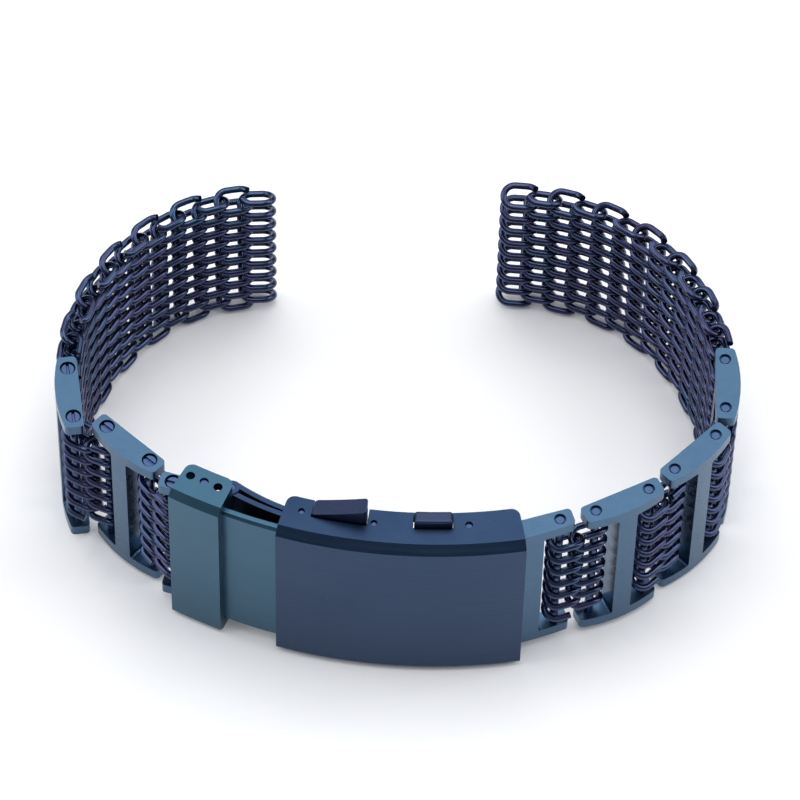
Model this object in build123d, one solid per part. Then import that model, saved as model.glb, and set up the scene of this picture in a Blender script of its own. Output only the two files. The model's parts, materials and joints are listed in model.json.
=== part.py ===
from build123d import *
import os
from math import asin, atan2, cos, degrees, hypot, pi, radians, sin

# Shark mesh watch bracelet in millimetres, standing on its lower edges with +Z up.
# The origin is the middle of the clasp cover's lower face.
# Two mesh bands of interlinked flat coils hang on H-shaped links, and these end on a folding clasp.

overrun = 2.0                 # how far a cut reaches past what it cuts
fit_gap = 0.02                # radial gap of a pin held in a hole
running_gap = 0.1             # gap between faces that slide on each other

# Clasp cover, bent round a vertical axis behind it
cover_radius = 62.0
cover_depth = 5.2
cover_height = 25.0
cover_half_angle = 13.1
cover_front_wall = 1.0
cover_side_wall = 1.4
cover_chamfer = 1.0
cover_corner = 1.0
guide_rail = 0.4
guide_rail_height = 0.9

# Extension plate and its ratchet comb
plate_thickness = 0.9
plate_inner_x = 3.4
plate_seat = 2.4              # length held in the sleeve
plate_edge = 0.35
extension_angle = 6.2
comb_pitch_angle = 1.5
comb_notches = 6
comb_notch_width = 1.2
comb_notch_height = 1.3
comb_margin = 0.12

# Sleeve with the adjustment holes
sleeve_angle = 5.8
sleeve_depth = 4.8
sleeve_end_wall = 1.0
sleeve_chamfer = 0.8
adjust_hole = 1.0
adjust_hole_depth = 3.25
adjust_angles_share = (0.24, 0.53, 0.82)
used_hole_index = 1

# Folding blades between the cover and the first right link
blade_thickness = 0.6
blade_gap = 0.1
blade_height = 18.0
blade_set_back = 4.15
blade_bend_angle = 8.0
middle_tail_offset = 0.88     # how far outside the hinge's centre a blade's outer face ends
base_tail_offset = -0.33
blade_hinge_angle = 20.4
blade_hinge_depth = 6.0
knuckle = 1.8
knuckle_pin = 0.8
knuckle_share = 0.5
knuckle_gap = 0.15
cover_hinge_x = 7.46
cover_hinge_depth = 3.55
base_step_x = 9.2
base_step_run = 1.3
end_knuckle = 1.9
end_pin_x = 11.31
end_pin_depth = 3.0
post_x = 7.2
post_neck = 1.0
post_head = 1.6
post_head_length = 0.4
post_window_length = 3.4
post_window_height = 2.4
post_window_shift = 0.35
post_reach = 2.15

# Release button with its slider, guide pins and springs
release_left_x = 10.15
release_right_x = 4.0
release_low = 0.3
release_high = 2.4
release_back = 5.0
release_front = 3.05
release_root = 2.1
release_corner = 0.4
release_travel = 1.2
bar_left_x = 12.1
bar_right_x = 2.3
bar_back = 4.0
bar_front = 2.6
bar_drop = 1.7
bar_height = 2.3
slider_left_x = 9.5
slider_right_x = 5.0
slider_thickness = 0.5
slider_bottom = 10.5
guide_pin = 0.7
guide_pin_left_x = 11.3
guide_pin_right_x = 3.14
guide_pin_depth = 3.45
guide_pin_inset = 0.3
guide_collar = 1.2
guide_collar_height = 0.6
guide_collar_z = 13.0
release_spring = 1.16
release_spring_wire = 0.16
release_spring_turns = 8

# Extension button with its tooth and spring
extend_left_x = 1.35
extend_right_x = 5.7
extend_back = 4.7
extend_front = 3.1
extend_proud = 1.2
extend_corner = 0.35
extend_gap = 0.1
extend_flange_lap = 0.35
extend_flange_height = 0.6
extend_flange_drop = 0.1
extend_travel = 1.3
stem_left_x = 1.7
stem_right_x = 2.7
stem_back = 3.25
stem_front = 2.65
stem_bottom = 18.0
tooth_height = 1.2
tooth_reach = 1.35
tooth_rise = 0.7
extend_spring = 1.0
extend_spring_wire = 0.16
extend_spring_turns = 18

# H-shaped links
link_pin_spacing = 6.7
link_overhang = 1.55
link_height = 22.0
link_wall = 1.5
link_inner = 1.1
link_outer = 1.75
first_link_outer = 1.3
link_end_drop = 0.7
first_link_drop = 0.3
link_corner = 0.5
link_crossbar = 2.3
link_fillet = 0.3
link_pin = 1.0
link_pin_recess = 0.2
link_pin_bore = 1.4
link_pin_bore_depth = 0.5
screw_head = 1.5
screw_head_length = 0.8
screw_bore = 1.8
screw_bore_depth = 1.0
screw_slot_width = 0.3
screw_slot_depth = 0.3
screw_foot = 0.3

# First left link, held on the sleeve's spring bar
end_link_spacing = 3.7
end_link_barrel = 1.9
end_link_crossbar = 1.65
spring_bar = 1.0

# Mesh coils of round wire
wire = 0.8
coil_length = 4.7
coil_thickness = 3.1
coil_pitch = 2.4
coil_spacing = 2.75
coil_end_turn = 60.0          # how far round its next bend a coil is cut off, in degrees
coil_short_end_turn = 20.0
coil_link_end_turn = 4.0
band_bends = 17
connector_bends = 13
connector_pin_offset = 0.8
band_pin_offset = 0.85
sample_bends = 4              # bends and points used to measure the least gap between turns
sample_points = 160

# Plan of the two chains as they stand: headings in degrees, counter-clockwise from +X
right_link_headings = (21.0, 30.0, 48.0, 92.0)
right_connector_headings = ((23.0, 25.0), (48.0, 50.0), (72.0, 80.0))
right_band_heading = 102.0
right_band_turns = (3.5, 4.0, 5.0, 6.0, 6.5, 7.0, 7.0, 7.0, 7.0, 6.5, 6.5, 6.0, 5.0)
left_link_headings = (168.0, 141.0, 101.0)
left_connector_headings = ((133.0, 131.0), (160.0, 155.0))
left_band_heading = 94.0
left_band_turns = (-6.5, -6.0, -6.0, -6.0, -6.0, -6.0, -6.5, -6.5, -7.0, -7.5, -8.0, -8.0, -8.0)

# Lowest point of each link above the ground
right_link_rises = (1.5, 1.0, 0.5, 0.0)
left_link_rises = (1.5, 0.75, 0.0)

# Places worked out from the sizes above
arc_centre_y = cover_radius - cover_depth / 2
cover_inside = cover_radius - cover_front_wall
plate_outer = cover_inside - running_gap
plate_inner = plate_outer - plate_thickness
plate_bottom = cover_side_wall + running_gap
plate_top = cover_height - plate_bottom
blade_bottom = (cover_height - blade_height) / 2
blade_top = blade_bottom + blade_height
middle_outer = cover_radius - blade_set_back
middle_inner = middle_outer - blade_thickness
base_outer = middle_inner - blade_gap
base_inner = base_outer - blade_thickness
blade_hinge_radius = cover_radius - blade_hinge_depth
cover_hinge_radius = cover_radius - cover_hinge_depth
end_pin_radius = cover_radius - end_pin_depth
guide_pin_radius = cover_radius - guide_pin_depth
adjust_hole_radius = cover_radius - adjust_hole_depth
sleeve_right = -cover_half_angle - extension_angle - degrees(running_gap / cover_radius)
sleeve_left = sleeve_right - sleeve_angle
sleeve_inner = cover_radius - sleeve_depth
middle_z = cover_height / 2
coil_bend_radius = hypot((coil_thickness - wire) / 2, coil_pitch / 4)
band_height = band_bends * coil_pitch / 2
band_top = (link_height + band_height) / 2


def polar(radius, angle):
    """Plan point at a radius from the clasp's bending axis, angle from -Y towards +X."""
    return (radius * sin(radians(angle)), arc_centre_y - radius * cos(radians(angle)))


def angle_at(x, radius):
    """Angle at which the circle of that radius has the given x."""
    return degrees(asin(x / radius))


def sector(inner, outer, start, end, bottom, top):
    """Block bent round the clasp's axis between two radii, two angles and two heights."""
    middle = (start + end) / 2
    back = ThreePointArc(polar(inner, start), polar(inner, middle), polar(inner, end))
    front = ThreePointArc(polar(outer, end), polar(outer, middle), polar(outer, start))
    outline = Wire([back, Line(back @ 1, front @ 0), front, Line(front @ 1, back @ 0)])
    return Pos(0, 0, bottom) * extrude(make_face(outline), amount=top - bottom)


def sector_x(inner, outer, left_x, right_x, bottom, top):
    """Bent block whose ends are given by their x on its outer radius."""
    return sector(inner, outer, angle_at(left_x, outer), angle_at(right_x, outer), bottom, top)


def rod(point, diameter, bottom, top):
    """Upright cylinder at a plan point."""
    return Pos(point[0], point[1], (bottom + top) / 2) * Cylinder(diameter / 2, top - bottom)


def box_between(low, high):
    """Box between two opposite corners."""
    size = [b - a for a, b in zip(low, high)]
    centre = [(a + b) / 2 for a, b in zip(low, high)]
    return Pos(*centre) * Box(*size)


def upright_edges(solid, radius, reach):
    """Vertical edges whose plan place lies within reach of a radius from the clasp's axis."""
    chosen = []
    for edge in solid.edges().filter_by(Axis.Z):
        place = edge.center()
        if abs(hypot(place.X, place.Y - arc_centre_y) - radius) < reach:
            chosen.append(edge)
    return chosen


def front_rims(solid, heights):
    """Outer bent edges at the given heights."""
    chosen = []
    for edge in solid.edges().filter_by(GeomType.CIRCLE):
        place = edge.arc_center
        near = hypot(place.X, place.Y - arc_centre_y) < fit_gap
        level = min(abs(place.Z - height) for height in heights) < fit_gap
        if near and level and abs(edge.radius - cover_radius) < fit_gap:
            chosen.append(edge)
    return chosen


def shell(start, end, inner, side_wall, chamfer_size):
    """Channel open at the back: front wall and two side walls, with bevelled front edges."""
    body = sector(inner, cover_radius, start, end, 0, cover_height)
    body = chamfer(front_rims(body, (0, cover_height)), chamfer_size)
    margin = degrees(overrun / cover_radius)
    hollow = sector(inner - overrun, cover_inside, start - margin, end + margin,
                    side_wall, cover_height - side_wall)
    body -= hollow
    body = fillet(upright_edges(body, inner, fit_gap), cover_corner)
    return body


def clasp_cover():
    """Front cover of the clasp with the openings for both buttons and the pin holes."""
    body = shell(-cover_half_angle, cover_half_angle, cover_radius - cover_depth,
                 cover_side_wall, cover_chamfer)
    rail_inner = plate_inner - running_gap - guide_rail
    for bottom in (cover_side_wall, cover_height - cover_side_wall - guide_rail_height):
        body += sector(rail_inner, plate_inner - running_gap, -cover_half_angle, 0,
                       bottom, bottom + guide_rail_height)
    wall_bottom = cover_height - cover_side_wall
    wall_top = cover_height + overrun
    body -= sector_x(cover_radius - cover_depth - overrun, cover_radius - release_front + extend_gap,
                     -release_left_x - extend_gap, -release_right_x + extend_gap,
                     wall_bottom, wall_top)
    body -= sector_x(cover_radius - extend_back - extend_gap, cover_radius - extend_front + extend_gap,
                     extend_left_x - extend_gap, extend_right_x + extend_gap,
                     wall_bottom, wall_top)
    places = ((guide_pin_radius, -guide_pin_left_x, guide_pin),
              (guide_pin_radius, -guide_pin_right_x, guide_pin),
              (cover_hinge_radius, cover_hinge_x, knuckle_pin))
    for radius, x, diameter in places:
        point = polar(radius, angle_at(x, radius))
        hole = diameter + 2 * fit_gap
        body -= rod(point, hole, wall_bottom, wall_top)
        body -= rod(point, hole, guide_pin_inset, cover_side_wall + overrun)
    return body


def extension_plate():
    """Bent plate that slides inside the cover, with the ratchet comb cut in it."""
    left = sleeve_right - degrees(plate_seat / plate_outer)
    right = angle_at(plate_inner_x, plate_outer)
    body = sector(plate_inner, plate_outer, left, right, plate_bottom, plate_top)
    rims = []
    for edge in body.edges().filter_by(GeomType.CIRCLE):
        if abs(edge.radius - plate_outer) < fit_gap:
            rims.append(edge)
    body = chamfer(rims, plate_edge)
    tooth_angle = angle_at((stem_left_x + stem_right_x) / 2, plate_outer)
    half_notch = degrees(comb_notch_width / 2 / plate_outer)
    slot_top = tooth_top() + comb_margin
    slot_bottom = tooth_top() - tooth_height - extend_travel - comb_margin
    comb_left = tooth_angle - comb_pitch_angle * (comb_notches - 1)
    reach = (plate_inner - overrun, plate_outer + overrun)
    body -= sector(*reach, comb_left - half_notch, tooth_angle + half_notch, slot_bottom, slot_top)
    for index in range(comb_notches):
        middle = comb_left + index * comb_pitch_angle
        body -= sector(*reach, middle - half_notch, middle + half_notch,
                       slot_bottom, slot_top + comb_notch_height)
    return body


def adjust_sleeve():
    """Short channel at the clasp's left end with the row of adjustment holes."""
    body = shell(sleeve_left, sleeve_right, sleeve_inner, cover_side_wall, sleeve_chamfer)
    wall_angle = degrees(sleeve_end_wall / cover_radius)
    end_wall = sector(middle_outer + 2 * running_gap, cover_inside, sleeve_right - wall_angle,
                      sleeve_right, cover_side_wall, cover_height - cover_side_wall)
    body += end_wall
    margin = degrees(overrun / cover_radius)
    body -= sector(plate_inner, plate_outer, sleeve_left - margin, sleeve_right + margin,
                   plate_bottom, plate_top)
    for index in range(len(adjust_angles_share)):
        body -= rod(adjust_point(index), adjust_hole + 2 * fit_gap, cover_height - cover_side_wall,
                    cover_height + overrun)
        body -= rod(adjust_point(index), adjust_hole + 2 * fit_gap, -overrun, cover_side_wall)
    return body


def adjust_point(index):
    """Plan place of one adjustment hole."""
    return polar(adjust_hole_radius, sleeve_right - adjust_angles_share[index] * sleeve_angle)


def tail_bend(outer, tail_offset):
    """Radius and sweep of the bend that leads a blade's outer face past the blade hinge."""
    end_radius = blade_hinge_radius + tail_offset
    turn = radians(blade_hinge_angle - blade_bend_angle)
    inward = outer - end_radius * cos(turn)
    chord = hypot(inward, end_radius * sin(turn))
    bend_radius = chord * chord / inward / 2
    return bend_radius, 2 * degrees(asin(chord / bend_radius / 2))


def blade(outer, thickness, right_angle, tail_offset, bottom, top):
    """Strip along the clasp's arc that bends in more tightly towards the blade hinge."""
    inner = outer - thickness
    main = sector(inner, outer, -blade_bend_angle, right_angle, bottom, top)
    bend_radius, sweep_angle = tail_bend(outer, tail_offset)
    pivot = polar(outer - bend_radius, -blade_bend_angle)

    def point(radius, angle):
        turn = radians(-blade_bend_angle - angle)
        return (pivot[0] + radius * sin(turn), pivot[1] - radius * cos(turn))

    far = bend_radius
    near = bend_radius - thickness
    front = ThreePointArc(point(far, 0), point(far, sweep_angle / 2), point(far, sweep_angle))
    back = ThreePointArc(point(near, sweep_angle), point(near, sweep_angle / 2), point(near, 0))
    outline = Wire([front, Line(front @ 1, back @ 0), back, Line(back @ 1, front @ 0)])
    tail = Pos(0, 0, bottom) * extrude(make_face(outline), amount=top - bottom)
    return main + tail


def blade_hinge_point():
    """Plan place of the hinge between the two blades."""
    return polar(blade_hinge_radius, -blade_hinge_angle)


def cover_hinge_point():
    """Plan place of the hinge between the middle blade and the cover."""
    return polar(cover_hinge_radius, angle_at(cover_hinge_x, cover_hinge_radius))


def end_pin_point():
    """Plan place of the pin that joins the base blade and the first right link."""
    return polar(end_pin_radius, angle_at(end_pin_x, end_pin_radius))


def post_angle():
    """Angle of the catch post on the clasp's arc."""
    return angle_at(-post_x, middle_outer)


def knuckle_zone():
    """Lower and upper height of the middle knuckle of the blade hinge."""
    half = blade_height * knuckle_share / 2
    return middle_z - half, middle_z + half


def tail_bridge(point, target, thickness, bottom, top):
    """Short web from a hinge knuckle to the strip beside it."""
    heading = degrees(atan2(target[1] - point[1], target[0] - point[0]))
    length = hypot(target[0] - point[0], target[1] - point[1])
    web = box_between((0, -thickness / 2, bottom), (length, thickness / 2, top))
    return Pos(point[0], point[1], 0) * Rot(0, 0, heading) * web


def middle_blade():
    """Blade between the cover hinge and the blade hinge, with a window for the catch post."""
    hinge = blade_hinge_point()
    low, high = knuckle_zone()
    body = blade(middle_outer, blade_thickness, angle_at(cover_hinge_x, middle_outer),
                 middle_tail_offset, blade_bottom, blade_top)
    body += rod(cover_hinge_point(), knuckle, blade_bottom, blade_top)
    for bottom, top in ((blade_bottom, low), (high, blade_top)):
        body -= rod(hinge, knuckle + 2 * knuckle_gap, bottom - knuckle_gap, top + knuckle_gap)
    body += rod(hinge, knuckle, low, high)
    for point in (hinge, cover_hinge_point()):
        body -= rod(point, knuckle_pin + 2 * fit_gap, blade_bottom - overrun, blade_top + overrun)
    half = degrees(post_window_length / 2 / middle_outer)
    centre = post_angle() + degrees(post_window_shift / middle_outer)
    body -= sector(middle_inner - overrun, middle_outer + overrun, centre - half, centre + half,
                   middle_z - post_window_height / 2, middle_z + post_window_height / 2)
    return body


def base_blade():
    """Blade on the wrist side, from the blade hinge to the first right link."""
    hinge = blade_hinge_point()
    low, high = knuckle_zone()
    end = end_pin_point()
    step = angle_at(base_step_x, base_outer)
    body = blade(base_outer, blade_thickness, step, base_tail_offset, blade_bottom, blade_top)
    body -= rod(hinge, knuckle + 2 * knuckle_gap, low - knuckle_gap, high + knuckle_gap)
    for bottom, top in ((blade_bottom, low - knuckle_gap), (high + knuckle_gap, blade_top)):
        body += rod(hinge, knuckle, bottom, top)
    foot = polar(base_outer - blade_thickness / 2, step - degrees(blade_thickness / base_outer))
    knee = polar(base_outer - blade_thickness / 2, step + degrees(base_step_run / base_outer / 2))
    body += tail_bridge(foot, knee, blade_thickness, blade_bottom, blade_top)
    body += rod(knee, blade_thickness, blade_bottom, blade_top)
    body += tail_bridge(knee, end, blade_thickness, blade_bottom, blade_top)
    body += rod(end, end_knuckle, blade_bottom, blade_top)
    for point, diameter in ((hinge, knuckle_pin), (end, link_pin)):
        body -= rod(point, diameter + 2 * fit_gap, blade_bottom - overrun, blade_top + overrun)
    body -= post_rod(post_neck + 2 * fit_gap, base_inner - overrun, base_outer + overrun)
    return body


def post_rod(diameter, inner, outer):
    """Cylinder along the radius through the catch post, between two radii."""
    angle = post_angle()
    middle = polar((inner + outer) / 2, angle)
    place = Pos(middle[0], middle[1], middle_z) * Rot(0, 0, angle) * Rot(90, 0, 0)
    return place * Cylinder(diameter / 2, outer - inner)


def catch_post():
    """Headed post riveted in the base blade, which the slider catches."""
    head_inner = base_outer + post_reach
    neck = post_rod(post_neck, base_inner, head_inner)
    head = post_rod(post_head, head_inner, head_inner + post_head_length)
    return neck + head


def blade_hinge_pin():
    """Pin through the knuckles of both blades."""
    return rod(blade_hinge_point(), knuckle_pin, blade_bottom, blade_top)


def cover_hinge_pin():
    """Pin that carries the middle blade between the cover's side walls."""
    return rod(cover_hinge_point(), knuckle_pin, guide_pin_inset, cover_height - guide_pin_inset)


def guide_points():
    """Plan places of the two guide pins of the release button."""
    return [polar(guide_pin_radius, angle_at(x, guide_pin_radius))
            for x in (-guide_pin_left_x, -guide_pin_right_x)]


def guide_pins():
    """Two pins with a collar each, on which the release bar slides."""
    pins = []
    for point in guide_points():
        pin = rod(point, guide_pin, guide_pin_inset, cover_height - guide_pin_inset)
        pins.append(pin + rod(point, guide_collar, guide_collar_z, guide_collar_z + guide_collar_height))
    return Compound(children=pins)


def release_button():
    """Wedge-shaped button above the cover, with its bar and the slotted slider below."""
    root = cover_height - release_root
    back = cover_radius - release_back
    front = cover_radius - release_front
    wedge = sector_x(back, front, -release_left_x, -release_right_x, root, cover_height + release_high)
    wedge = fillet(wedge.edges().filter_by(Axis.Z), release_corner)
    run = release_left_x - release_right_x
    slope = degrees(atan2(release_high - release_low, run))
    corner = polar(front, angle_at(-release_left_x, front))
    knife = box_between((-overrun, -cover_depth, 0), (2 * run, 2 * cover_depth, cover_depth))
    knife = Pos(corner[0], corner[1], cover_height + release_low) * Rot(0, -slope, 0) * knife
    wedge -= knife
    bar_top = cover_height - bar_drop
    bar_bottom = bar_top - bar_height
    body = wedge + sector_x(cover_radius - bar_back, cover_radius - bar_front,
                            -bar_left_x, -bar_right_x, bar_bottom, bar_top)
    body += sector_x(cover_radius - bar_front - slider_thickness, cover_radius - bar_front,
                     -slider_left_x, -slider_right_x, slider_bottom, bar_top)
    for point in guide_points():
        body -= rod(point, guide_pin + 2 * running_gap, bar_bottom - overrun, bar_top)
    centre = post_angle()
    half = degrees((post_head / 2 + 3 * running_gap) / middle_outer)
    rise = post_head / 2 + 3 * running_gap
    body -= sector(cover_radius - bar_front - slider_thickness - fit_gap, cover_radius - bar_front + overrun,
                   centre - half, centre + half, middle_z - rise, middle_z + rise + release_travel)
    return body


def tooth_top():
    """Height of the ratchet tooth's upper face."""
    return stem_bottom + tooth_rise + tooth_height


def extension_button():
    """Button above the cover with a flange below the wall and a stem with the ratchet tooth."""
    flange_top = cover_height - cover_side_wall - extend_flange_drop
    flange_bottom = flange_top - extend_flange_height
    back = cover_radius - extend_back
    front = cover_radius - extend_front
    cap = sector_x(back, front, extend_left_x, extend_right_x, flange_bottom, cover_height + extend_proud)
    cap = fillet(cap.edges().filter_by(Axis.Z), extend_corner)
    cap = fillet(cap.faces().sort_by(Axis.Z)[-1].edges(), extend_corner)
    body = cap + sector_x(cover_radius - bar_back, front + extend_flange_lap,
                          extend_left_x - extend_flange_lap, extend_right_x + extend_flange_lap,
                          flange_bottom, flange_top)
    stem_outer = cover_radius - stem_front
    body += sector_x(cover_radius - stem_back, stem_outer, stem_left_x, stem_right_x,
                     stem_bottom, flange_top)
    body += sector_x(cover_radius - stem_back, stem_outer + tooth_reach, stem_left_x, stem_right_x,
                     tooth_top() - tooth_height, tooth_top())
    return body


def cut_end(leg_end, depth, height, rise, reach, turn):
    """Start, middle and end of the arc from a coil's outermost leg to where its wire is cut."""
    points = []
    for angle in (0, radians(turn) / 2, radians(turn)):
        points.append((leg_end + reach * sin(angle), depth * cos(angle), height + rise * (1 - cos(angle))))
    return points


def coil_path(length, thickness, diameter, pitch, bends, top, outer_first, end_turn):
    """Centre line of a flat coil: level legs joined by half-turn bends that step down."""
    offset = (thickness - diameter) / 2
    radius = hypot(offset, pitch / 4)
    half_leg = (length - diameter) / 2 - radius
    side = -1 if outer_first else 1
    depth = offset if outer_first else -offset
    height = top
    start = (-side * half_leg, depth, height)
    edges = []
    if end_turn:
        bend = cut_end(-side * half_leg, depth, height, pitch / 4, -side * radius, end_turn)
        edges.append(ThreePointArc(*reversed(bend)))
    for _ in range(bends):
        corner = (side * half_leg, depth, height)
        middle = (side * (half_leg + radius), 0, height - pitch / 4)
        finish = (side * half_leg, -depth, height - pitch / 2)
        edges.append(Line(start, corner))
        edges.append(ThreePointArc(corner, middle, finish))
        start = finish
        depth = -depth
        side = -side
        height -= pitch / 2
    edges.append(Line(start, (side * half_leg, depth, height)))
    if end_turn:
        bend = cut_end(side * half_leg, depth, height, -pitch / 4, side * radius, end_turn)
        edges.append(ThreePointArc(*bend))
    return Wire(edges)


def coil(length, thickness, diameter, pitch, bends, top, outer_first, end_turn):
    """Round wire swept along a flat coil."""
    path = coil_path(length, thickness, diameter, pitch, bends, top, outer_first, end_turn)
    section = Plane(origin=path @ 0, z_dir=path % 0) * Circle(diameter / 2)
    return sweep(section, path=path)


def mesh_coil(bends, top, outer_first, end_turn):
    """One coil of the mesh in its own frame: X along the band, Y outward."""
    return coil(coil_length, coil_thickness, wire, coil_pitch, bends, top, outer_first, end_turn)


def spring(point, diameter, spring_wire, bottom, top, turns):
    """Compression spring wound between two heights."""
    pitch = (top - bottom - spring_wire) / turns
    length = 2 * hypot((diameter - spring_wire) / 2, pitch / 4) + spring_wire + 2 * fit_gap
    body = coil(length, diameter, spring_wire, pitch, 2 * turns, top - spring_wire / 2, True, 0)
    return Pos(point[0], point[1], 0) * body


def release_springs():
    """Return springs round the two guide pins, between the collars and the bar."""
    bottom = guide_collar_z + guide_collar_height + fit_gap
    top = cover_height - bar_drop - bar_height - fit_gap
    return Compound(children=[spring(point, release_spring, release_spring_wire, bottom, top,
                                     release_spring_turns) for point in guide_points()])


def extension_button_spring():
    """Return spring below the stem of the extension button."""
    radius = cover_radius - (stem_back + stem_front) / 2
    point = polar(radius, angle_at((stem_left_x + stem_right_x) / 2, radius))
    return spring(point, extend_spring, extend_spring_wire, cover_side_wall + fit_gap,
                  stem_bottom - fit_gap, extend_spring_turns)


def pin_holes(points, screwed, rise):
    """Cuts for the pins or screws of a link, shown in its upper face."""
    bore = screw_bore if screwed else link_pin_bore
    depth = screw_bore_depth if screwed else link_pin_bore_depth
    cuts = []
    for point in points:
        cuts.append(rod(point, link_pin + 2 * fit_gap, rise - overrun, rise + link_height + overrun))
        cuts.append(rod(point, bore, rise + link_height - depth, rise + link_height + overrun))
        if not screwed:
            cuts.append(rod(point, bore, rise - overrun, rise + depth))
    return cuts


def link(outer, end_drop, screwed, rise):
    """H-shaped link in its own frame: X along the chain, Y outward, centred between its pins."""
    half = link_pin_spacing / 2 + link_overhang
    side = outer - end_drop
    bulge = ThreePointArc((half, side), (0, outer), (-half, side))
    outline = Wire([Line((-half, -link_inner), (half, -link_inner)), Line((half, -link_inner), (half, side)),
                    bulge, Line((-half, side), (-half, -link_inner))])
    body = Pos(0, 0, rise) * extrude(make_face(outline), amount=link_height)
    body = fillet(body.edges().filter_by(Axis.Z), link_corner)
    for direction in (-1, 1):
        near = direction * link_crossbar / 2
        far = direction * (half + overrun)
        low = (min(near, far), -link_inner - overrun, rise + link_wall)
        high = (max(near, far), outer + overrun, rise + link_height - link_wall)
        body -= box_between(low, high)
    body = fillet(crossbar_corners(body, (-link_crossbar / 2, link_crossbar / 2), rise), link_fillet)
    points = [(-link_pin_spacing / 2, 0), (link_pin_spacing / 2, 0)]
    for cut in pin_holes(points, screwed, rise):
        body -= cut
    return body


def crossbar_corners(body, faces_x, rise):
    """Edges across the link where the crossbar meets the side walls."""
    levels = (rise + link_wall, rise + link_height - link_wall)
    chosen = []
    for edge in body.edges().filter_by(Axis.Y):
        place = edge.center()
        at_face = min(abs(place.X - x) for x in faces_x) < fit_gap
        at_wall = min(abs(place.Z - level) for level in levels) < fit_gap
        if at_face and at_wall:
            chosen.append(edge)
    return chosen


def link_pins(points, rise):
    """Plain pins of a link, their ends just below its faces."""
    return [rod(point, link_pin, rise + link_pin_recess, rise + link_height - link_pin_recess)
            for point in points]


def link_screws(points, rise):
    """Slotted screws of a link, their heads just below its upper face."""
    screws = []
    top = rise + link_height - link_pin_recess
    for point in points:
        body = rod(point, screw_head, top - screw_head_length, top)
        body += rod(point, link_pin, rise + screw_foot, top - screw_head_length)
        slot = box_between((-screw_head, -screw_slot_width / 2, top - screw_slot_depth),
                           (screw_head, screw_slot_width / 2, top + overrun))
        body -= Pos(point[0], point[1], 0) * slot
        screws.append(body)
    return screws


def end_link(rise):
    """First left link: a barrel on the spring bar and a fork for the first coil."""
    tip = end_link_spacing + link_overhang
    half = end_link_barrel / 2
    side = link_outer - link_end_drop
    outline = Wire([Line((0, -half), (tip, -link_inner)), Line((tip, -link_inner), (tip, side)),
                    Line((tip, side), (0, half)), Line((0, half), (0, -half))])
    body = Pos(0, 0, rise) * extrude(make_face(outline), amount=link_height)
    tips = [edge for edge in body.edges().filter_by(Axis.Z) if edge.center().X > end_link_spacing]
    body = fillet(tips, link_corner)
    body += rod((0, 0), end_link_barrel, rise, rise + link_height)
    body -= box_between((end_link_crossbar, -overrun - link_inner, rise + link_wall),
                        (tip + overrun, overrun + link_inner, rise + link_height - link_wall))
    body = fillet(crossbar_corners(body, (end_link_crossbar,), rise), link_fillet)
    body -= rod((0, 0), spring_bar + 2 * fit_gap, rise - overrun, rise + link_height + overrun)
    for cut in pin_holes([(end_link_spacing, 0)], True, rise):
        body -= cut
    return body


def advance(point, heading, distance):
    """Plan point reached by walking a distance along a heading."""
    turn = radians(heading)
    return (point[0] + distance * cos(turn), point[1] + distance * sin(turn))


def place(point, heading, right_side):
    """Location of a piece whose own X runs clockwise round the bracelet, as seen from above."""
    turn = heading + 180 if right_side else heading
    return Pos(point[0], point[1], 0) * Rot(0, 0, turn)


def centred_top(first_rise, second_rise):
    """Height of a connector coil's upper leg, centred between two links."""
    height = connector_bends * coil_pitch / 2
    return (first_rise + second_rise + link_height + height) / 2


def chain(start, first_spacing, link_headings, connector_headings, rises, band_heading, band_turns):
    """Plan of one side of the bracelet, from its clasp pin to the free end of its mesh."""
    links = []
    connectors = []
    columns = []
    point = start
    last = len(link_headings) - 1
    for index, heading in enumerate(link_headings):
        spacing = link_pin_spacing if index else first_spacing
        links.append((point, heading, rises[index]))
        point = advance(point, heading, spacing)
        if index == last:
            break
        first, second = connector_headings[index]
        top = centred_top(rises[index], rises[index + 1])
        centre = advance(point, first, connector_pin_offset)
        point = advance(centre, first, coil_spacing / 2)
        other = advance(point, second, coil_spacing / 2)
        connectors.append(((centre, first, top), (other, second, top)))
        point = advance(other, second, connector_pin_offset)
    heading = band_heading
    centre = advance(point, heading, band_pin_offset)
    columns.append((centre, heading))
    for turn in band_turns:
        point = advance(centre, heading, coil_spacing / 2)
        heading += turn
        centre = advance(point, heading, coil_spacing / 2)
        columns.append((centre, heading))
    return links, connectors, columns


def right_chain():
    """Plan of the right side."""
    return chain(end_pin_point(), link_pin_spacing, right_link_headings, right_connector_headings,
                 right_link_rises, right_band_heading, right_band_turns)


def left_chain():
    """Plan of the left side."""
    return chain(adjust_point(used_hole_index), end_link_spacing, left_link_headings, left_connector_headings,
                 left_link_rises, left_band_heading, left_band_turns)


def band_coil(index, right_side):
    """One mesh column, counted from the link: the first one is shorter to fit in the link's fork."""
    if index == 0:
        return mesh_coil(band_bends - 2, band_top - coil_pitch / 2, right_side, coil_link_end_turn)
    outer_first = (index % 2 == 1) == right_side
    end_turn = coil_short_end_turn if index == 1 else coil_end_turn
    return mesh_coil(band_bends, band_top, outer_first, end_turn)


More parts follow.
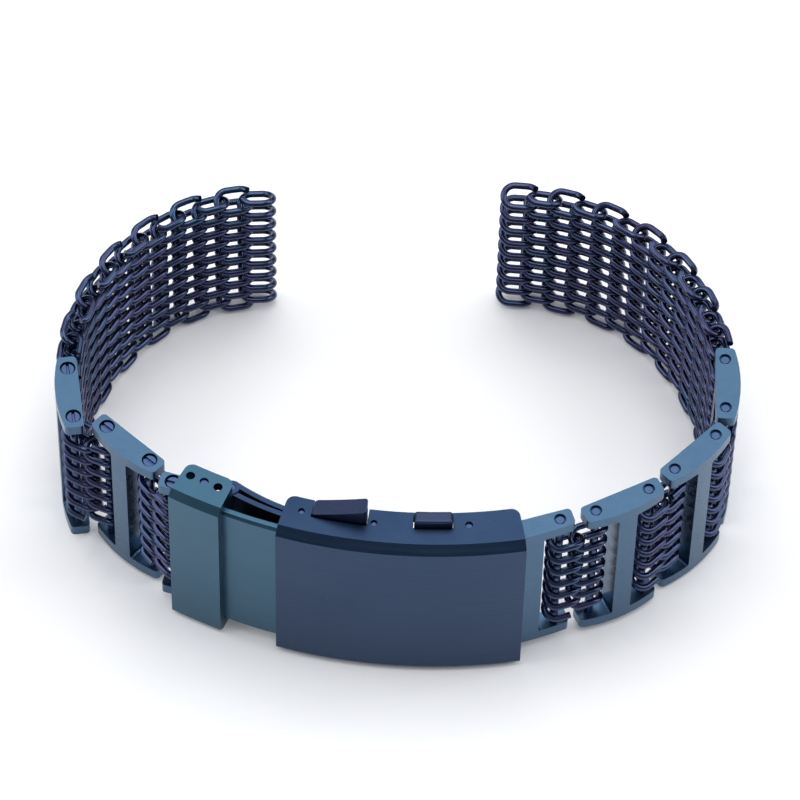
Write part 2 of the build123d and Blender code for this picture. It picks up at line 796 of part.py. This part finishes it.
def add_links(parts, side, plan, right_side):
    """Links of one side with their pins or screws."""
    for index, (point, heading, rise) in enumerate(plan):
        name = f"{side}_link_{index + 1}"
        if index == 0 and not right_side:
            where = place(point, heading, False)
            parts[name] = where * end_link(rise)
            parts[name + "_screw"] = where * link_screws([(end_link_spacing, 0)], rise)[0]
            continue
        middle = advance(point, heading, link_pin_spacing / 2)
        where = place(middle, heading, right_side)
        outer = first_link_outer if index == 0 else link_outer
        drop = first_link_drop if index == 0 else link_end_drop
        parts[name] = where * link(outer, drop, not right_side, rise)
        points = [(-link_pin_spacing / 2, 0), (link_pin_spacing / 2, 0)]
        pins = link_pins(points, rise) if right_side else link_screws(points, rise)
        if index == 0:
            parts["base_blade_pin"] = where * pins[1]
            parts[name + "_pin"] = where * pins[0]
        else:
            group = name + ("_pins" if right_side else "_screws")
            parts[group] = Compound(children=[where * pin for pin in pins])


def add_connectors(parts, side, plan, right_side):
    """Pairs of short coils between the links."""
    for index, pair in enumerate(plan):
        for number, (centre, heading, top) in enumerate(pair):
            outer_first = (number == 1) == right_side
            body = mesh_coil(connector_bends, top, outer_first, coil_link_end_turn)
            parts[f"{side}_connector_{index + 1}_coil_{number + 1}"] = place(centre, heading, right_side) * body


def add_band(parts, side, plan, right_side):
    """Mesh columns of one band, two to a node, counted from the link to the free end."""
    for first in range(0, len(plan), 2):
        coils = []
        for index in (first, first + 1):
            centre, heading = plan[index]
            coils.append(place(centre, heading, right_side) * band_coil(index, right_side))
        parts[f"{side}_band_coils_{first + 1:02d}_{first + 2:02d}"] = Compound(children=coils)


def sleeve_spring_bar():
    """Spring bar in the adjustment hole in use."""
    return rod(adjust_point(used_hole_index), spring_bar, guide_pin_inset, cover_height - guide_pin_inset)


def least_gap():
    """Least gap between the turns of one mesh coil, measured on points of its centre line."""
    path = coil_path(coil_length, coil_thickness, wire, coil_pitch, sample_bends, 0, True, 0)
    points = [path @ (index / sample_points) for index in range(sample_points + 1)]
    step = path.length / sample_points
    apart = int(coil_bend_radius * pi / step) + 1
    gaps = []
    for index, point in enumerate(points):
        for other in points[index + apart:]:
            gaps.append((point - other).length - wire)
    return min(gaps)


def build_parts():
    """All pieces of the bracelet by name, where they stand."""
    parts = {
        "clasp_cover": clasp_cover(),
        "extension_plate": extension_plate(),
        "adjust_sleeve": adjust_sleeve(),
        "sleeve_spring_bar": sleeve_spring_bar(),
        "middle_blade": middle_blade(),
        "base_blade": base_blade(),
        "catch_post": catch_post(),
        "blade_hinge_pin": blade_hinge_pin(),
        "cover_hinge_pin": cover_hinge_pin(),
        "release_button": release_button(),
        "release_guide_pins": guide_pins(),
        "release_springs": release_springs(),
        "extension_button": extension_button(),
        "extension_button_spring": extension_button_spring(),
    }
    for side, plan, right_side in (("right", right_chain(), True), ("left", left_chain(), False)):
        links, connectors, columns = plan
        add_links(parts, side, links, right_side)
        add_connectors(parts, side, connectors, right_side)
        add_band(parts, side, columns, right_side)
    return parts


def main():
    """Writes one file per piece."""
    os.makedirs("parts", exist_ok=True)
    print("least gap between turns of a mesh coil", round(least_gap(), 2))
    for name, solid in build_parts().items():
        export_step(solid, f"parts/{name}.step")


if __name__ == "__main__":
    main()
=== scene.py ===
import json
import math

import bmesh
import bpy
from mathutils import Matrix, Vector


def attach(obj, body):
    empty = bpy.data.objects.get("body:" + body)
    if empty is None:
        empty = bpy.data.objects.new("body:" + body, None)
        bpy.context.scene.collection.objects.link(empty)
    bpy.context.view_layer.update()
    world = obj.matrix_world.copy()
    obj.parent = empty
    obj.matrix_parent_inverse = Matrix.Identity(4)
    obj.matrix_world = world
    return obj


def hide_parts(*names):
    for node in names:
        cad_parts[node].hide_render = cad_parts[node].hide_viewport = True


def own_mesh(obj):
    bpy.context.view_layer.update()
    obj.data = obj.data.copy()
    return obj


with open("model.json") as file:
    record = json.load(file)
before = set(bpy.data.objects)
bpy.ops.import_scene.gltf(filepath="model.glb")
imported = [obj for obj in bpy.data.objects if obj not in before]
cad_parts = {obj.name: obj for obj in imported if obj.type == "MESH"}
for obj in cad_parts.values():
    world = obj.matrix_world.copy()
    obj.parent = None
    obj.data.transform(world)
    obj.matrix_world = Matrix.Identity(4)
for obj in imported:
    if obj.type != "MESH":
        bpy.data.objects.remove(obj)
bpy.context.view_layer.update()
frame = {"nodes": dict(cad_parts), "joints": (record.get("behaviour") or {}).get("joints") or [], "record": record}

mm = 0.001

# The two chains of the bracelet in millimetres and degrees, as the solids have them
wire = 0.8
coil_length = 4.7
coil_thickness = 3.1
coil_pitch = 2.4
coil_spacing = 2.75
coil_end_turn = 60.0
coil_short_end_turn = 20.0
coil_link_end_turn = 4.0
band_bends = 17
connector_bends = 13
connector_pin_offset = 0.8
band_pin_offset = 0.85
link_height = 22.0
link_pin_spacing = 6.7
end_link_spacing = 3.7
right_link_headings = (21.0, 30.0, 48.0, 92.0)
right_connector_headings = ((23.0, 25.0), (48.0, 50.0), (72.0, 80.0))
right_band_heading = 102.0
right_band_turns = (3.5, 4.0, 5.0, 6.0, 6.5, 7.0, 7.0, 7.0, 7.0, 6.5, 6.5, 6.0, 5.0)
left_link_headings = (168.0, 141.0, 101.0)
left_connector_headings = ((133.0, 131.0), (160.0, 155.0))
left_band_heading = 94.0
left_band_turns = (-6.5, -6.0, -6.0, -6.0, -6.0, -6.0, -6.5, -6.5, -7.0, -7.5, -8.0, -8.0, -8.0)
right_link_rises = (1.5, 1.0, 0.5, 0.0)
left_link_rises = (1.5, 0.75, 0.0)

# Fineness of the drawn wire
wire_sides = 16
bend_steps = 12               # steps in a full bend
least_bend_steps = 2
leg_steps = 2
half_turn = 180.0
tube_face_corners = 4         # faces along the wire have four corners, its end caps more

# Camera of the photograph, in millimetres in the photograph's own plan frame
photo_focal_pixels = 5369.0
photo_width_pixels = 800.0
photo_elevation = 55.25
photo_roll = 1.46
photo_camera = Vector((0.0, -355.0, 524.3))
photo_arc_centre = Vector((2.93, 32.95, 0.0))
photo_turn = 2.3
clasp_arc_radius = 59.4
sensor_width = 36.0
nearest_seen = 0.01
farthest_seen = 20.0

# Floor and light, in metres and watts
floor_reach = 3.0
floor_colour = (0.93, 0.93, 0.94, 1.0)
floor_roughness = 0.9
floor_gloss = 0.1
white = (1.0, 1.0, 1.0)
cool_white = (0.96, 0.98, 1.0)
light_target = (0.0, 0.025, 0.012)
lamps = (
    # name, place, width, depth, power, tint
    ("back_box", (0.0, 0.75, 0.95), 1.6, 0.9, 6.0, white),
    ("left_box", (-0.8, 0.0, 0.5), 0.6, 1.0, 4.6, cool_white),
    ("right_box", (0.8, 0.1, 0.5), 0.6, 1.0, 4.6, cool_white),
    ("top_box", (0.0, 0.1, 1.3), 0.8, 0.8, 6.0, white),
    ("front_box", (0.0, -0.42, 0.95), 0.4, 0.2, 0.9, white),
)
surround_colour = (0.9, 0.93, 1.0, 1.0)
surround_strength = 0.3

# Brushed grain: fine and broad scratches, and how strongly they are told apart
fine_detail = 3.0
fine_roughness = 0.7
fine_share = 0.6
broad_scale_share = 0.27
broad_detail = 2.0
broad_share = 0.4
grain_middle = 0.5
grain_gain = 5.0

# Marks of handling: smudges and specks
marks_scale = 120.0
smudge_detail = 4.0
smudge_roughness = 0.55
smudge_range = (0.35, 0.7)
smudge_dulling = 0.08
speck_density = 14.0
speck_detail = 2.0
speck_range = (0.66, 0.74)
speck_share = 0.25
grain_dulling = 0.12
relief_depth = 0.00002

# Broken edges, in millimetres and degrees
merge_distance = 0.001
flat_angle = 0.2
edge_angle = 32.0
edge_steps = 2
pin_edge = 0.06
link_edge = 0.2


def add_camera():
    """Camera at the photograph's place, turned into the part's frame."""
    turn = Matrix.Rotation(math.radians(photo_turn), 4, "Z")
    shift = Vector((0.0, clasp_arc_radius, 0.0))
    place = turn @ (photo_camera - photo_arc_centre) + shift
    tilt = math.radians(photo_elevation)
    forward = Vector((0.0, math.cos(tilt), -math.sin(tilt)))
    right = Vector((1.0, 0.0, 0.0))
    up = Vector((0.0, math.sin(tilt), math.cos(tilt)))
    roll = math.radians(photo_roll)
    level_right = math.cos(roll) * right + math.sin(roll) * up
    level_up = -math.sin(roll) * right + math.cos(roll) * up
    axes = Matrix((level_right, level_up, -forward)).transposed()
    data = bpy.data.cameras.new("photo_camera")
    data.sensor_width = sensor_width
    data.lens = photo_focal_pixels / photo_width_pixels * sensor_width
    data.clip_start = nearest_seen
    data.clip_end = farthest_seen
    camera = bpy.data.objects.new("photo_camera", data)
    camera.matrix_world = Matrix.Translation(place * mm) @ turn @ axes.to_4x4()
    bpy.context.scene.collection.objects.link(camera)
    bpy.context.scene.camera = camera


def add_floor():
    """Plain pale floor below the bracelet."""
    mesh = bpy.data.meshes.new("floor")
    corners = [(across * floor_reach, along * floor_reach, 0)
               for across, along in ((-1, -1), (1, -1), (1, 1), (-1, 1))]
    mesh.from_pydata(corners, [], [(0, 1, 2, 3)])
    floor = bpy.data.objects.new("floor", mesh)
    bpy.context.scene.collection.objects.link(floor)
    material = bpy.data.materials.new("pale_floor")
    material.use_nodes = True
    shader = material.node_tree.nodes["Principled BSDF"]
    shader.inputs["Base Color"].default_value = floor_colour
    shader.inputs["Roughness"].default_value = floor_roughness
    shader.inputs["Specular IOR Level"].default_value = floor_gloss
    mesh.materials.append(material)


def add_light(name, place, width, depth, power, tint):
    """Soft rectangular lamp that faces the bracelet."""
    data = bpy.data.lights.new(name, "AREA")
    data.shape = "RECTANGLE"
    data.size = width
    data.size_y = depth
    data.energy = power
    data.color = tint
    lamp = bpy.data.objects.new(name, data)
    lamp.location = place
    lamp.rotation_euler = (Vector(light_target) - Vector(place)).to_track_quat("-Z", "Y").to_euler()
    bpy.context.scene.collection.objects.link(lamp)


def add_studio():
    """Soft studio light: boxes round and above the bracelet, and a dim surround."""
    for lamp in lamps:
        add_light(*lamp)
    world = bpy.data.worlds.new("surround")
    world.use_nodes = True
    back = world.node_tree.nodes["Background"]
    back.inputs["Color"].default_value = surround_colour
    back.inputs["Strength"].default_value = surround_strength
    bpy.context.scene.world = world
    bpy.context.scene.view_settings.view_transform = "Standard"


def new_group(name, inputs, outputs):
    """Empty shader group with named sockets."""
    tree = bpy.data.node_groups.new(name, "ShaderNodeTree")
    for label, kind, value in inputs:
        socket = tree.interface.new_socket(name=label, in_out="INPUT", socket_type=kind)
        if value is not None:
            socket.default_value = value
    for label, kind in outputs:
        tree.interface.new_socket(name=label, in_out="OUTPUT", socket_type=kind)
    return tree, tree.nodes.new("NodeGroupInput"), tree.nodes.new("NodeGroupOutput")


def brushed_grain():
    """Fine parallel scratches: long along one direction, narrow across it."""
    tree, inside, outside = new_group(
        "brushed_grain",
        [("Vector", "NodeSocketVector", None), ("Stretch", "NodeSocketVector", None),
         ("Contrast", "NodeSocketFloat", None)],
        [("Grain", "NodeSocketFloat"), ("Height", "NodeSocketFloat")])
    links = tree.links
    stretch = tree.nodes.new("ShaderNodeVectorMath")
    stretch.operation = "MULTIPLY"
    links.new(inside.outputs["Vector"], stretch.inputs[0])
    links.new(inside.outputs["Stretch"], stretch.inputs[1])
    fine = tree.nodes.new("ShaderNodeTexNoise")
    fine.inputs["Scale"].default_value = 1.0
    fine.inputs["Detail"].default_value = fine_detail
    fine.inputs["Roughness"].default_value = fine_roughness
    links.new(stretch.outputs[0], fine.inputs["Vector"])
    broad = tree.nodes.new("ShaderNodeTexNoise")
    broad.inputs["Scale"].default_value = broad_scale_share
    broad.inputs["Detail"].default_value = broad_detail
    links.new(stretch.outputs[0], broad.inputs["Vector"])
    blend = tree.nodes.new("ShaderNodeMath")
    blend.operation = "MULTIPLY_ADD"
    blend.inputs[1].default_value = fine_share
    links.new(fine.outputs["Fac"], blend.inputs[0])
    share = tree.nodes.new("ShaderNodeMath")
    share.operation = "MULTIPLY"
    share.inputs[1].default_value = broad_share
    links.new(broad.outputs["Fac"], share.inputs[0])
    links.new(share.outputs[0], blend.inputs[2])
    centred = tree.nodes.new("ShaderNodeMath")
    centred.operation = "SUBTRACT"
    centred.inputs[1].default_value = grain_middle
    links.new(blend.outputs[0], centred.inputs[0])
    grown = tree.nodes.new("ShaderNodeMath")
    grown.operation = "MULTIPLY_ADD"
    grown.inputs[2].default_value = grain_middle
    grown.use_clamp = True
    links.new(centred.outputs[0], grown.inputs[0])
    contrast = tree.nodes.new("ShaderNodeMath")
    contrast.operation = "MULTIPLY"
    contrast.inputs[1].default_value = grain_gain
    links.new(inside.outputs["Contrast"], contrast.inputs[0])
    links.new(contrast.outputs[0], grown.inputs[1])
    links.new(grown.outputs[0], outside.inputs["Grain"])
    links.new(blend.outputs[0], outside.inputs["Height"])
    return tree


def handling_marks():
    """Soft smudges and specks of wear left by handling."""
    tree, inside, outside = new_group(
        "handling_marks",
        [("Vector", "NodeSocketVector", None), ("Scale", "NodeSocketFloat", marks_scale)],
        [("Smudge", "NodeSocketFloat"), ("Specks", "NodeSocketFloat")])
    links = tree.links
    soft = tree.nodes.new("ShaderNodeTexNoise")
    soft.inputs["Detail"].default_value = smudge_detail
    soft.inputs["Roughness"].default_value = smudge_roughness
    links.new(inside.outputs["Vector"], soft.inputs["Vector"])
    links.new(inside.outputs["Scale"], soft.inputs["Scale"])
    spread = tree.nodes.new("ShaderNodeMapRange")
    spread.inputs["From Min"].default_value = smudge_range[0]
    spread.inputs["From Max"].default_value = smudge_range[1]
    links.new(soft.outputs["Fac"], spread.inputs["Value"])
    dense = tree.nodes.new("ShaderNodeMath")
    dense.operation = "MULTIPLY"
    dense.inputs[1].default_value = speck_density
    links.new(inside.outputs["Scale"], dense.inputs[0])
    speck = tree.nodes.new("ShaderNodeTexNoise")
    speck.inputs["Detail"].default_value = speck_detail
    links.new(inside.outputs["Vector"], speck.inputs["Vector"])
    links.new(dense.outputs[0], speck.inputs["Scale"])
    cut = tree.nodes.new("ShaderNodeMapRange")
    cut.inputs["From Min"].default_value = speck_range[0]
    cut.inputs["From Max"].default_value = speck_range[1]
    links.new(speck.outputs["Fac"], cut.inputs["Value"])
    links.new(spread.outputs[0], outside.inputs["Smudge"])
    links.new(cut.outputs[0], outside.inputs["Specks"])
    return tree


grain_group = brushed_grain()
marks_group = handling_marks()


def coated_steel(name, deep, light, rough, stretch, contrast, bump, worn):
    """Blue coated steel: brushed grain, smudges and small worn specks."""
    material = bpy.data.materials.new(name)
    material.use_nodes = True
    tree = material.node_tree
    links = tree.links
    shader = tree.nodes["Principled BSDF"]
    shader.inputs["Metallic"].default_value = 1.0
    place = tree.nodes.new("ShaderNodeTexCoord")
    grain = tree.nodes.new("ShaderNodeGroup")
    grain.node_tree = grain_group
    grain.inputs["Stretch"].default_value = stretch
    grain.inputs["Contrast"].default_value = contrast
    links.new(place.outputs["Object"], grain.inputs["Vector"])
    marks = tree.nodes.new("ShaderNodeGroup")
    marks.node_tree = marks_group
    links.new(place.outputs["Object"], marks.inputs["Vector"])
    tone = tree.nodes.new("ShaderNodeMix")
    tone.data_type = "RGBA"
    tone.inputs["A"].default_value = (*deep, 1.0)
    tone.inputs["B"].default_value = (*light, 1.0)
    links.new(grain.outputs["Grain"], tone.inputs["Factor"])
    wear = tree.nodes.new("ShaderNodeMix")
    wear.data_type = "RGBA"
    wear.inputs["B"].default_value = (*worn, 1.0)
    links.new(tone.outputs["Result"], wear.inputs["A"])
    faint = tree.nodes.new("ShaderNodeMath")
    faint.operation = "MULTIPLY"
    faint.inputs[1].default_value = speck_share
    links.new(marks.outputs["Specks"], faint.inputs[0])
    links.new(faint.outputs[0], wear.inputs["Factor"])
    links.new(wear.outputs["Result"], shader.inputs["Base Color"])
    base = tree.nodes.new("ShaderNodeMapRange")
    base.inputs["To Min"].default_value = rough
    base.inputs["To Max"].default_value = rough + grain_dulling
    links.new(grain.outputs["Grain"], base.inputs["Value"])
    smear = tree.nodes.new("ShaderNodeMath")
    smear.operation = "MULTIPLY_ADD"
    smear.inputs[1].default_value = smudge_dulling
    links.new(marks.outputs["Smudge"], smear.inputs[0])
    links.new(base.outputs[0], smear.inputs[2])
    links.new(smear.outputs[0], shader.inputs["Roughness"])
    relief = tree.nodes.new("ShaderNodeBump")
    relief.inputs["Strength"].default_value = bump
    relief.inputs["Distance"].default_value = relief_depth
    links.new(grain.outputs["Height"], relief.inputs["Height"])
    links.new(relief.outputs["Normal"], shader.inputs["Normal"])
    return material


# How far each finish's grain is stretched: large numbers are fine scratches across that axis
brushed_along = (150.0, 150.0, 9000.0)
brushed_across = (8000.0, 8000.0, 200.0)
even_grain = (900.0, 900.0, 900.0)
patchy_grain = (260.0, 260.0, 260.0)
faint_wear = (0.06, 0.085, 0.13)
bare_wear = (0.5, 0.5, 0.5)

finishes = {
    "cover": coated_steel("cover_brushed_blue", deep=(0.023, 0.044, 0.092), light=(0.032, 0.058, 0.116),
                          rough=0.28, stretch=brushed_along, contrast=0.65, bump=0.4, worn=faint_wear),
    "sleeve": coated_steel("sleeve_brushed_teal", deep=(0.041, 0.10, 0.155), light=(0.056, 0.125, 0.187),
                           rough=0.26, stretch=brushed_along, contrast=0.4, bump=0.3, worn=faint_wear),
    "link": coated_steel("link_polished_blue", deep=(0.058, 0.115, 0.194), light=(0.071, 0.135, 0.218),
                         rough=0.2, stretch=even_grain, contrast=0.4, bump=0.12, worn=faint_wear),
    "mesh": coated_steel("mesh_wire_blue", deep=(0.036, 0.068, 0.125), light=(0.052, 0.044, 0.105),
                         rough=0.12, stretch=patchy_grain, contrast=0.5, bump=0.06, worn=faint_wear),
    "button": coated_steel("button_brushed_navy", deep=(0.031, 0.042, 0.085), light=(0.042, 0.058, 0.113),
                           rough=0.3, stretch=brushed_across, contrast=0.4, bump=0.4, worn=faint_wear),
    "pin": coated_steel("pin_periwinkle", deep=(0.05, 0.09, 0.19), light=(0.07, 0.11, 0.22),
                        rough=0.22, stretch=even_grain, contrast=0.4, bump=0.15, worn=faint_wear),
    "steel": coated_steel("inner_plain_steel", deep=(0.30, 0.31, 0.33), light=(0.42, 0.43, 0.45),
                          rough=0.3, stretch=even_grain, contrast=0.4, bump=0.15, worn=bare_wear),
}
behaviour = frame["record"]["behaviour"]
body_of_node = {node: body for body, nodes in behaviour["bodies"].items() for node in nodes}


def finish_piece(piece, nodes):
    """The piece rides with its nodes' body and stands for them, whose own solids are hidden."""
    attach(piece, body_of_node[nodes[0]])
    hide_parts(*nodes)


def plain_mesh(work, name, finish):
    """Turns an object's evaluated shape into a plain mesh object and removes the object."""
    graph = bpy.context.evaluated_depsgraph_get()
    mesh = bpy.data.meshes.new_from_object(work.evaluated_get(graph))
    mesh.name = name
    mesh.materials.clear()
    mesh.materials.append(finishes[finish])
    bpy.data.objects.remove(work)
    piece = bpy.data.objects.new(name, mesh)
    bpy.context.scene.collection.objects.link(piece)
    return piece


def rounded_copy(node, finish, edge_radius):
    """Copy of a solid with its edges broken by a small round."""
    mesh = frame["nodes"][node].data.copy()
    if "custom_normal" in mesh.attributes:
        mesh.attributes.remove(mesh.attributes["custom_normal"])
    shape = bmesh.new()
    shape.from_mesh(mesh)
    bmesh.ops.remove_doubles(shape, verts=shape.verts, dist=merge_distance * mm)
    bmesh.ops.dissolve_limit(shape, angle_limit=math.radians(flat_angle),
                             verts=shape.verts, edges=shape.edges)
    for face in shape.faces:
        face.smooth = True
    shape.to_mesh(mesh)
    shape.free()
    work = bpy.data.objects.new("work", mesh)
    bpy.context.scene.collection.objects.link(work)
    bevel = work.modifiers.new("broken_edges", "BEVEL")
    bevel.width = edge_radius * mm
    bevel.segments = edge_steps
    bevel.limit_method = "ANGLE"
    bevel.angle_limit = math.radians(edge_angle)
    bevel.harden_normals = True
    weighted = work.modifiers.new("even_faces", "WEIGHTED_NORMAL")
    weighted.keep_sharp = True
    finish_piece(plain_mesh(work, node + "_finished", finish), [node])


def pressed_springs():
    """Return springs of the buttons, copied plain with the steel finish and riding with their bodies."""
    for joint in behaviour["joints"]:
        for spring in joint.get("deforming_nodes", ()):
            node = spring["node"]
            mesh = frame["nodes"][node].data.copy()
            mesh.materials.clear()
            mesh.materials.append(finishes["steel"])
            piece = bpy.data.objects.new(node + "_finished", mesh)
            bpy.context.scene.collection.objects.link(piece)
            finish_piece(piece, [node])
            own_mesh(piece)


def wire_tree():
    """Geometry tree that sweeps a round section with closed ends along a curve."""
    tree = bpy.data.node_groups.new("round_wire", "GeometryNodeTree")
    face = tree.interface
    face.new_socket(name="Geometry", in_out="INPUT", socket_type="NodeSocketGeometry")
    face.new_socket(name="Wire Radius", in_out="INPUT", socket_type="NodeSocketFloat")
    face.new_socket(name="Sides", in_out="INPUT", socket_type="NodeSocketInt")
    face.new_socket(name="Finish", in_out="INPUT", socket_type="NodeSocketMaterial")
    face.new_socket(name="Geometry", in_out="OUTPUT", socket_type="NodeSocketGeometry")
    inside = tree.nodes.new("NodeGroupInput")
    outside = tree.nodes.new("NodeGroupOutput")
    section = tree.nodes.new("GeometryNodeCurvePrimitiveCircle")
    tree.links.new(inside.outputs["Wire Radius"], section.inputs["Radius"])
    tree.links.new(inside.outputs["Sides"], section.inputs["Resolution"])
    sweep = tree.nodes.new("GeometryNodeCurveToMesh")
    sweep.inputs["Fill Caps"].default_value = True
    tree.links.new(inside.outputs["Geometry"], sweep.inputs["Curve"])
    tree.links.new(section.outputs["Curve"], sweep.inputs["Profile Curve"])
    solid = tree.nodes.new("GeometryNodeRealizeInstances")
    tree.links.new(sweep.outputs["Mesh"], solid.inputs["Geometry"])
    paint = tree.nodes.new("GeometryNodeSetMaterial")
    tree.links.new(solid.outputs["Geometry"], paint.inputs["Geometry"])
    tree.links.new(inside.outputs["Finish"], paint.inputs["Material"])
    tree.links.new(paint.outputs["Geometry"], outside.inputs["Geometry"])
    return tree


round_wire = wire_tree()


def bend_points(leg_end, depth, height, rise, reach, turn):
    """Points round a bend, from the end of a leg up to a turn given in degrees."""
    steps = max(least_bend_steps, round(bend_steps * turn / half_turn))
    points = []
    for step in range(1, steps + 1):
        angle = math.radians(turn) * step / steps
        points.append(Vector((leg_end + reach * math.sin(angle), depth * math.cos(angle),
                              height + rise * (1 - math.cos(angle)))))
    return points


def coil_points(bends, top, outer_first, end_turn):
    """Points along a flat coil's centre line: level legs joined by half-turn bends."""
    offset = (coil_thickness - wire) / 2
    radius = math.hypot(offset, coil_pitch / 4)
    half_leg = (coil_length - wire) / 2 - radius
    side = -1 if outer_first else 1
    depth = offset if outer_first else -offset
    height = top
    cut = bend_points(-side * half_leg, depth, height, coil_pitch / 4, -side * radius, end_turn)
    points = cut[::-1] + [Vector((-side * half_leg, depth, height))]
    for _ in range(bends):
        start = points[-1]
        corner = Vector((side * half_leg, depth, height))
        for step in range(1, leg_steps + 1):
            points.append(start.lerp(corner, step / leg_steps))
        points += bend_points(side * half_leg, depth, height, -coil_pitch / 4, side * radius, half_turn)
        depth = -depth
        side = -side
        height -= coil_pitch / 2
    points.append(Vector((side * half_leg, depth, height)))
    points += bend_points(side * half_leg, depth, height, -coil_pitch / 4, side * radius, end_turn)
    return points


def advance(point, heading, distance):
    """Plan point reached by walking a distance along a heading."""
    turn = math.radians(heading)
    return (point[0] + distance * math.cos(turn), point[1] + distance * math.sin(turn))


def place(point, heading, right_side):
    """Matrix of a coil whose own X runs clockwise round the bracelet, as seen from above."""
    turn = math.radians(heading + half_turn if right_side else heading)
    return Matrix.Translation((point[0], point[1], 0)) @ Matrix.Rotation(turn, 4, "Z")


def wire_piece(name, node, coils):
    """Round wires of one node, each given by its place and its points in millimetres."""
    curve = bpy.data.curves.new(name, "CURVE")
    curve.dimensions = "3D"
    for where, points in coils:
        spline = curve.splines.new("POLY")
        spline.points.add(len(points) - 1)
        for target, point in zip(spline.points, points):
            target.co = (*((where @ point) * mm), 1.0)
    work = bpy.data.objects.new("work", curve)
    bpy.context.scene.collection.objects.link(work)
    modifier = work.modifiers.new("round_wire", "NODES")
    modifier.node_group = round_wire
    values = {"Wire Radius": wire / 2 * mm, "Sides": wire_sides, "Finish": finishes["mesh"]}
    for item in round_wire.interface.items_tree:
        if item.in_out == "INPUT" and item.name in values:
            modifier[item.identifier] = values[item.name]
    bpy.context.view_layer.update()
    piece = plain_mesh(work, name, "mesh")
    for face in piece.data.polygons:
        face.use_smooth = len(face.vertices) == tube_face_corners
    finish_piece(piece, [node])


def centred_top(first_rise, second_rise):
    """Height of a connector coil's upper leg, centred between two links."""
    height = connector_bends * coil_pitch / 2
    return (first_rise + second_rise + link_height + height) / 2


def chain_wires(side, start, first_spacing, headings, pairs, rises, band_heading, turns, right_side):
    """All mesh coils of one side of the bracelet, from its clasp pin to its free end."""
    point = start
    for index, heading in enumerate(headings):
        point = advance(point, heading, link_pin_spacing if index else first_spacing)
        if index == len(pairs):
            break
        top = centred_top(rises[index], rises[index + 1])
        first, second = pairs[index]
        centre = advance(point, first, connector_pin_offset)
        other = advance(advance(centre, first, coil_spacing / 2), second, coil_spacing / 2)
        for number, (spot, turn) in enumerate(((centre, first), (other, second))):
            outer_first = (number == 1) == right_side
            points = coil_points(connector_bends, top, outer_first, coil_link_end_turn)
            node = f"{side}_connector_{index + 1}_coil_{number + 1}"
            wire_piece(node + "_wire", node, [(place(spot, turn, right_side), points)])
        point = advance(other, second, connector_pin_offset)
    band_height = band_bends * coil_pitch / 2
    band_top = (link_height + band_height) / 2
    heading = band_heading
    centre = advance(point, heading, band_pin_offset)
    columns = [(centre, heading)]
    for turn in turns:
        point = advance(centre, heading, coil_spacing / 2)
        heading += turn
        centre = advance(point, heading, coil_spacing / 2)
        columns.append((centre, heading))
    for first in range(0, len(columns), 2):
        coils = []
        for index in (first, first + 1):
            spot, turn = columns[index]
            outer_first = right_side if index == 0 else (index % 2 == 1) == right_side
            bends = band_bends if index else band_bends - 2
            top = band_top if index else band_top - coil_pitch / 2
            end_turn = (coil_link_end_turn, coil_short_end_turn)[index] if index < 2 else coil_end_turn
            coils.append((place(spot, turn, right_side), coil_points(bends, top, outer_first, end_turn)))
        node = f"{side}_band_coils_{first + 1:02d}_{first + 2:02d}"
        wire_piece(node + "_wire", node, coils)


def joint_place(name):
    """Plan place of a joint of the frame, in millimetres."""
    for joint in frame["joints"]:
        if joint["name"] == name:
            return (joint["pos_m"][0] / mm, joint["pos_m"][1] / mm)
    raise ValueError(name)


def dress_nodes():
    """Every solid of the clasp and the links, save the coils and the return springs, gets its finish and broken
    edges.
    """
    looks = {
        # node: finish and edge radius
        "clasp_cover": ("cover", 0.16),
        "extension_plate": ("sleeve", 0.08),
        "adjust_sleeve": ("sleeve", 0.15),
        "middle_blade": ("cover", 0.06),
        "base_blade": ("cover", 0.06),
        "catch_post": ("steel", 0.05),
        "release_button": ("button", 0.18),
        "extension_button": ("button", 0.12),
        "blade_hinge_pin": ("pin", 0.08),
        "cover_hinge_pin": ("pin", 0.08),
        "base_blade_pin": ("pin", 0.08),
        "sleeve_spring_bar": ("pin", 0.1),
        "release_guide_pins": ("pin", 0.08),
    }
    for node in frame["nodes"]:
        if "coil" in node or ("spring" in node and node not in looks):
            continue
        if node in looks:
            finish, radius = looks[node]
        elif node.endswith(("_pin", "_pins", "_screw", "_screws")):
            finish, radius = "pin", pin_edge
        else:
            finish, radius = "link", link_edge
        rounded_copy(node, finish, radius)


add_camera()
add_floor()
add_studio()
dress_nodes()
pressed_springs()
chain_wires("right", joint_place("right_link_1_hinge"), link_pin_spacing, right_link_headings,
            right_connector_headings, right_link_rises, right_band_heading, right_band_turns, True)
chain_wires("left", joint_place("left_link_1_hinge"), end_link_spacing, left_link_headings,
            left_connector_headings, left_link_rises, left_band_heading, left_band_turns, False)
